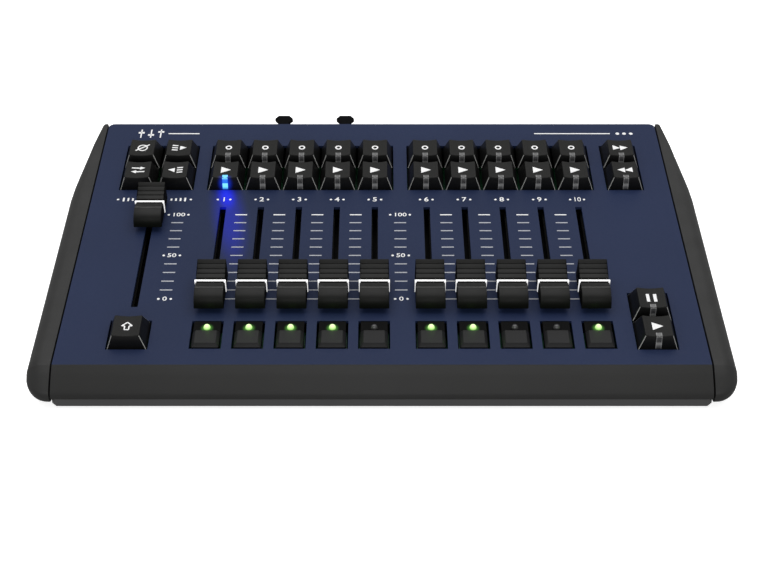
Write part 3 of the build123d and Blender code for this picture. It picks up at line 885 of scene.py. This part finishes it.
def number_mesh(text, size, stretch, fatten):
    """Mesh of a short number, centred, in millimetres, from the faces of the default typeface."""
    curve = bpy.data.curves.new("number", "FONT")
    curve.body = text
    curve.size = size
    curve.align_x = "CENTER"
    curve.align_y = "CENTER"
    curve.offset = size * fatten
    curve.resolution_u = 3
    curve.extrude = (LEGEND_SINK + LEGEND_RISE) / 2
    holder = bpy.data.objects.new("number", curve)
    bpy.context.scene.collection.objects.link(holder)
    bpy.context.view_layer.update()
    mesh = bpy.data.meshes.new_from_object(holder)
    bpy.data.objects.remove(holder)
    lift = (LEGEND_RISE - LEGEND_SINK) / 2
    mesh.transform(Matrix.Translation((0, 0, lift)) @ Matrix.Diagonal((stretch, 1, 1, 1)))
    return mesh


def print_number(shape, text, x, t, size=3.9, stretch=1.15, fatten=0.010):
    mesh = number_mesh(text, size, stretch, fatten)
    mesh.transform(Matrix.Translation((x, t, 0)))
    before = len(shape.bm.faces)
    shape.bm.from_mesh(mesh)
    shape.bm.faces.ensure_lookup_table()
    for face in shape.bm.faces[before:]:
        face.material_index = shape.slot("ink")
        face.smooth = False
    bpy.data.meshes.remove(mesh)


def print_scale(shape, x, labelled):
    """Eleven marks from 0 to 100; a labelled scale has numbers at its ends and middle."""
    spacing = (FADER_FULL - SCALE_ZERO) / 10
    dot_reach = {0: 2.9, 5: 3.9, 10: 4.9}
    for i in range(11):
        t = SCALE_ZERO + spacing * i
        if labelled and i in dot_reach:
            print_number(shape, str(i * 10), x, t)
            print_dots(shape, x, t, dot_reach[i])
        else:
            print_mark(shape, block(x, t, *DASH), "ink" if i == 10 else "ink_soft")


def print_column_number(shape, number, x):
    if number < 10:
        stretch, fatten, reach = 1.05, 0.012, 3.15
    else:
        stretch, fatten, reach = 0.88, 0.002, 3.5
    print_number(shape, str(number), x, LABEL_ROW, 4.7, stretch, fatten)
    print_dots(shape, x, LABEL_ROW, reach)


def print_master_legend(shape):
    """A fan of bars that grow towards the ends, on both sides of the grand master."""
    for way in (-1, 1):
        print_mark(shape, disc(MASTER_X + way * 18.4, LABEL_ROW, DOT))
        for i in range(4):
            print_mark(shape, block(MASTER_X + way * (8.6 + 2.3 * i), LABEL_ROW, 0.45, 0.8 + 0.22 * i))


def print_emblems(shape):
    """A plain emblem of three sliders at the upper left, and a dotted rule at the upper right."""
    for i, rise in enumerate((0.8, -1.2, 1.6)):
        x = -128.5 + 5.2 * i
        print_mark(shape, bar(x, EMBLEM_ROW - 3.7, x, EMBLEM_ROW + 3.7, 0.7))
        print_mark(shape, block(x, EMBLEM_ROW + rise, 1.6, 0.7))
    for start, end in ((-114.0, -97.5), (81.5, 122.0)):
        print_mark(shape, bar(start, EMBLEM_ROW, end, EMBLEM_ROW, 0.8))
    for i in range(3):
        print_mark(shape, disc(126.0 + 3.6 * i, EMBLEM_ROW, 1.0))


def make_legends():
    shape = Shape()
    for number, x in enumerate(COLUMNS, 1):
        print_column_number(shape, number, x)
    # Between the columns of each group there is a plain scale, and in the gap a labelled one.
    for left, right in zip(COLUMNS, COLUMNS[1:]):
        if right - left < 1.2 * KEY_PITCH:
            print_scale(shape, (left + right) / 2, labelled=False)
    print_scale(shape, (COLUMNS[4] + COLUMNS[5]) / 2 - 0.4, labelled=True)
    print_scale(shape, MASTER_X + 13.5, labelled=True)
    print_master_legend(shape)
    print_emblems(shape)
    shape.finish("panel_legends", "desk", on_deck(0, 0), sharp=30)


# ---------------------------------------- casing
# Front of the bezel, from the panel's edge down to its nose.
LIP = [
    (-PANEL_LIP, 0.0), (-2.9, -0.9), (-5.3, -2.15), (-8.2, -4.05), (-11.0, -6.0), (-12.35, -7.5),
    (-12.8, -9.7),
]


def smooth_line(points, steps):
    """Catmull-Rom line through the points."""
    padded = [points[0], *points, points[-1]]
    line = []
    for i in range(1, len(padded) - 2):
        p0, p1, p2, p3 = (Vector(p) for p in padded[i - 1:i + 3])
        for step in range(steps):
            f = step / steps
            line.append(
                0.5 * (2 * p1 + (p2 - p0) * f + (2 * p0 - 5 * p1 + 4 * p2 - p3) * f * f
                       + (3 * p1 - p0 - 3 * p2 + p3) * f ** 3)
            )
    return line + [Vector(points[-1])]


def make_bezel():
    """Front lip: a shell with a soft roll from the panel down to its nose, and a ledge behind."""
    shape = Shape()
    outer = [(p.x, p.y) for p in smooth_line(LIP, 5)]
    inner = [
        (-10.9, -9.7), (-10.5, -8.0), (-7.0, -5.8), (-3.6, -3.6), (7.5, -3.6), (7.5, -PANEL_THICK),
        (-PANEL_LIP, -PANEL_THICK),
    ]
    outline = outer + inner
    rings = []
    for place, pull in ((-1, 0.12), (-0.9988, 0.0), (0.9988, 0.0), (1, 0.12)):
        rings.append([(place * PANEL_HALF, a, b) for a, b in inset(outline, -pull)])
    shape.loft(rings, "bezel")
    made = shape.finish("front_lip", "desk", on_deck(0, 0), sharp=35)
    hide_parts("front_bezel")


CHEEK_IN = 147.2
CHEEK_OUT = 159.2
CHEEK_FLOOR = 3.2             # underside of a cheek above the floor
CHEEK_SHOULDER = 8.0          # how far the rounding reaches down the flank
CHEEK_UNDER = 6.5             # and up it from the underside
CHEEK_FLAT = 4.0              # width of the flat before the rounding starts
NOSE_FLAT = 1.2               # the same at the front
TAPER_START = 126.0
TAPER_SHARE = 0.617           # share of the width that the flank has lost at the rear
TAPER_POWER = 1.18


def cheek_outline():
    """Side outline of a cheek in millimetres of the shared frame. Each row is a (Y, Z) point, the
    point that it reaches on the flank, and the width of the flat before the rounding starts."""
    def deck(t, h):
        p = DECK @ Vector((0, t * MM, h * MM))
        return Vector((p.y / MM, p.z / MM))

    nose = deck(*LIP[-1])
    under = CHEEK_FLOOR + CHEEK_UNDER
    tip = Vector((nose.x + 13.0, (deck(2, -CHEEK_SHOULDER).y + under) / 2))
    edge = Vector((REAR_EDGE.y / MM, REAR_EDGE.z / MM))
    rear_low = Vector((edge.x + (edge.y - CHEEK_FLOOR) * tan(REAR_LEAN), CHEEK_FLOOR))
    rows = []

    def to_tip(p):
        return tip + (p - tip).normalized() * 0.5

    # Up the rear edge, along the panel, round the lip and the nose, and back along the underside.
    for i in range(5):
        shift = CHEEK_UNDER * (1 - i / 4) - CHEEK_SHOULDER * (i / 4) ** 3
        p = rear_low.lerp(edge, i / 5)
        rows.append((p, p + Vector((-1.5, shift)), CHEEK_FLAT))
    for i in range(22):
        t = PANEL_DEPTH * (1 - i / 21.5)
        rows.append((deck(t, 0), deck(t, -CHEEK_SHOULDER), CHEEK_FLAT))
    lip = smooth_line(LIP, 3)
    for i, local in enumerate(lip):
        p = deck(local.x, local.y)
        rows.append((p, to_tip(p), CHEEK_FLAT - (CHEEK_FLAT - NOSE_FLAT) * i / (len(lip) - 1)))
    low = nose.y - CHEEK_FLOOR
    for i in range(1, 8):
        a = pi / 2 * i / 7
        p = Vector((nose.x + 5.0 * (1 - cos(a)), nose.y - low * sin(a)))
        rows.append((p, to_tip(p), NOSE_FLAT))
    start = rows[-1][0].x
    for i in range(1, 18):
        p = Vector((start + (rear_low.x - start) * i / 18, CHEEK_FLOOR))
        blend = min(1.0, max(0.0, (p.x - start) / (tip.x - start)))
        straight = Vector((max(p.x, tip.x + 0.5), under))
        rows.append((p, to_tip(p).lerp(straight, blend), NOSE_FLAT + (CHEEK_FLAT - NOSE_FLAT) * blend))
    return rows


def cheek_reach(y):
    """Share of the full width that the flank keeps at y, less towards the rear."""
    taper = (DECK @ Vector((0, TAPER_START * MM, 0))).y / MM
    end = REAR_EDGE.y / MM
    f = min(1.0, max(0.0, (y - taper) / (end - taper)))
    return 1 - TAPER_SHARE * f ** TAPER_POWER


def make_cheek(name, side):
    """End cheek, lofted from its inner face outwards round a quarter turn to its flat flank."""
    shape = Shape()
    rows = cheek_outline()
    # The inner face stands just clear of the bezel's end.
    rings = [[(side * (CHEEK_IN + 0.3), p.x, p.y) for p, target, width in rows]]
    steps = 10
    for step in range(steps + 1):
        a = pi / 2 * step / steps
        ring = []
        for p, target, width in rows:
            full = (CHEEK_OUT - CHEEK_IN) * cheek_reach(p.x)
            start = min(width, full - 3)
            x = start + (full - start) * sin(a)
            moved = p.lerp(target, 1 - cos(a))
            ring.append((side * (CHEEK_IN + x), moved.x, moved.y))
        rings.append(ring)
    shape.loft(rings, "cheek")
    made = shape.finish(name, "desk", Matrix.Identity(4), sharp=60)
    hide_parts("side_cheeks")


def dress_cad():
    """Materials of the CAD nodes that show as they are."""
    plain = {
        "top_panel": "panel",
        "base_tray": "tray",
        "fader_tracks": "track",
        "control_board": "board",
        "rear_sockets": "socket",
        "rubber_feet": "rubber",
        "socket_latch_left": "latch",
        "socket_latch_right": "latch",
    }
    for name, key in plain.items():
        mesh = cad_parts[name].data
        mesh.materials.clear()
        mesh.materials.append(MAT[key])


# ---------------------------------------- small fittings
# On the rear wall: x is the frame's X, y runs down the wall from its top edge, z stands out of it.
REAR = Matrix.Translation(REAR_EDGE) @ Matrix.Rotation(REAR_LEAN - pi / 2, 4, "X")
SOCKET_X = (-53.3, -19.9)
SOCKET_DOWN = 18.5
FLANGE_FACE = 2.0
FLANGE_SCREW = (10.3, 12.8)   # from the socket's centre, at two opposite corners
WALL_SCREW = (139.5, 26.0)
CONTACTS = 5
CONTACT_RING = 4.9
INLET_X = 52.0
INLET_COLLAR = ((4.6, 0.8), (4.6, 1.9), (3.7, 1.9), (3.7, 0.8))     # radius and height
BASE_SCREWS = ((45, -88), (45, 84), (139, -60), (139, 58))          # and at -x


def screw(shape, x, y, base, radius=2.3, rise=1.1):
    """Pan-head screw with a cross recess."""
    head = ((1, base - 0.5), (1, base + 0.45 * rise), (0.85, base + 0.85 * rise), (0.5, base + rise))
    shape.loft([ring_circle((x, y), share * radius, height, 24) for share, height in head], "steel")
    # The cross recess is two near-black bars sunk into the head: painted shade.
    long, half = 0.5 * radius, 0.13 * radius
    for a, b in ((long, half), (half, long)):
        shape.box((x - a, x + a), (y - b, y + b), (base + rise - 0.3, base + rise + 0.02), "recess_shade")


def make_rear_fittings():
    """Contacts and screws of the line sockets, the inlet's collar and the wall's screws."""
    shape = Shape()
    for x in SOCKET_X:
        for turn in range(CONTACTS):
            a = radians(126 + 360 / CONTACTS * turn)
            centre = (x + CONTACT_RING * cos(a), SOCKET_DOWN + CONTACT_RING * sin(a))
            shape.cylinder(centre, 1.35, FLANGE_FACE - 0.3, FLANGE_FACE + 0.06, "contact", 20)
            # A near-black disc in each contact: painted shade for its hole.
            shape.cylinder(centre, 0.95, FLANGE_FACE - 0.2, FLANGE_FACE + 0.09, "recess_shade", 20)
        for way in (-1, 1):
            place = (x + way * FLANGE_SCREW[0], SOCKET_DOWN + way * FLANGE_SCREW[1])
            screw(shape, *place, FLANGE_FACE, 1.9, 0.9)
    for way in (-1, 1):
        screw(shape, way * WALL_SCREW[0], WALL_SCREW[1], 0.0)
    collar = [ring_circle((INLET_X, SOCKET_DOWN), radius, height, 32) for radius, height in INLET_COLLAR]
    shape.loft(collar + collar[:1], "socket", caps=False)
    shape.finish("rear_fittings", "desk", REAR, sharp=30)


def make_underside_screws():
    """Screws of the tray, drawn upwards and then turned over."""
    shape = Shape()
    for way in (-1, 1):
        for x, y in BASE_SCREWS:
            screw(shape, way * x, y, -FOOT_HEIGHT)
    shape.finish("underside_screws", "desk", Matrix.Rotation(pi, 4, "X"), sharp=30)


# ---------------------------------------- stage
STAGE_HALF = 3.0
WALL_HEIGHT = 2.5
WALL_SIDES = 48


def make_stage():
    """White floor, and a round white wall well behind the lights."""
    mat, shader = material("floor_white")
    shader.inputs["Base Color"].default_value = (0.9, 0.9, 0.9, 1)
    shader.inputs["Roughness"].default_value = 0.9
    shader.inputs["Emission Color"].default_value = (1, 1, 1, 1)
    shader.inputs["Emission Strength"].default_value = 0.72
    corners = [(x * STAGE_HALF, y * STAGE_HALF, 0) for x, y in ((-1, -1), (1, -1), (1, 1), (-1, 1))]
    turns = [2 * pi * i / WALL_SIDES for i in range(WALL_SIDES)]
    rim = [(STAGE_HALF * cos(a), STAGE_HALF * sin(a)) for a in turns]
    wall = [(x, y, z) for z in (-0.01, WALL_HEIGHT) for x, y in rim]
    panes = []
    for i in range(WALL_SIDES):
        j = (i + 1) % WALL_SIDES
        panes.append((i, j, WALL_SIDES + j, WALL_SIDES + i))
    for name, points, faces in (("floor", corners, [(0, 1, 2, 3)]), ("wall", wall, panes)):
        mesh = bpy.data.meshes.new(name)
        mesh.from_pydata(points, [], faces)
        mesh.materials.append(mat)
        piece = bpy.data.objects.new(name, mesh)
        bpy.context.scene.collection.objects.link(piece)
        # The stage stays white in view without throwing its light up under the desk.
        piece.visible_diffuse = False
        piece.visible_glossy = False
        piece.visible_shadow = name == "floor"


def add_lamp(name, kind, place, power):
    data = bpy.data.lights.new(name, kind)
    data.energy = power
    lamp = bpy.data.objects.new(name, data)
    bpy.context.scene.collection.objects.link(lamp)
    lamp.location = place
    return lamp


def area_light(name, place, target, size, power):
    lamp = add_lamp(name, "AREA", place, power)
    lamp.data.shape = "RECTANGLE"
    lamp.data.size, lamp.data.size_y = size
    lamp.rotation_euler = (Vector(target) - Vector(place)).to_track_quat("-Z", "Y").to_euler()


def point_light(name, place, radius, power, colour):
    lamp = add_lamp(name, "POINT", place, power)
    lamp.data.color = colour
    lamp.data.shadow_soft_size = radius


def make_lights():
    """Soft studio light from above, the front and the rear, and the small lamps of the buttons."""
    world = bpy.data.worlds.new("studio")
    bpy.context.scene.world = world
    world.use_nodes = True
    back = world.node_tree.nodes["Background"]
    back.inputs["Color"].default_value = (1, 1, 1, 1)
    back.inputs["Strength"].default_value = 0.42
    area_light("top_soft", (0.0, 0.15, 1.1), (0, 0, 0), (1.6, 1.2), 10.5)
    area_light("front_soft", (0.0, -1.3, 0.5), (0, -0.05, 0), (1.6, 0.5), 6)
    area_light("rear_soft", (0.0, 1.1, 0.7), (0, 0.05, 0), (1.8, 0.6), 0.8)
    for number in LIT_LAMPS:
        place = on_deck(COLUMNS[number - 1], FLASH_ROW + LED_BACK, 2.6).translation
        point_light(f"lamp_{number}", place, 0.0012, 0.0004, (0.35, 1.0, 0.12))


CAMERA_BACK = 0.5143          # from the panel's front edge, in metres
CAMERA_UP = 0.3841
CAMERA_X = -0.0004
CAMERA_DOWN = 33.5            # degrees below the horizon


def make_camera():
    data = bpy.data.cameras.new("camera")
    data.sensor_width = 36
    data.lens = 68.1
    data.clip_start = 0.01
    camera = bpy.data.objects.new("camera", data)
    bpy.context.scene.collection.objects.link(camera)
    camera.location = (CAMERA_X, FRONT_Y - CAMERA_BACK, FRONT_Z + CAMERA_UP)
    camera.rotation_euler = (radians(90 - CAMERA_DOWN), 0, 0)
    bpy.context.scene.camera = camera


# ---------------------------------------- the desk
make_camera()
dress_cad()
make_bezel()
make_cheek("left_cheek", -1)
make_cheek("right_cheek", 1)
make_keys()
for number, x in enumerate(COLUMNS, 1):
    make_flash(number, x)
    make_fader(f"fader_{number}", x, FADER_ZERO)
make_fader("grand_master_fader", MASTER_X, MASTER_FULL)
make_legends()
make_rear_fittings()
make_underside_screws()
make_stage()
make_lights()
bpy.context.scene.view_settings.view_transform = "Standard"
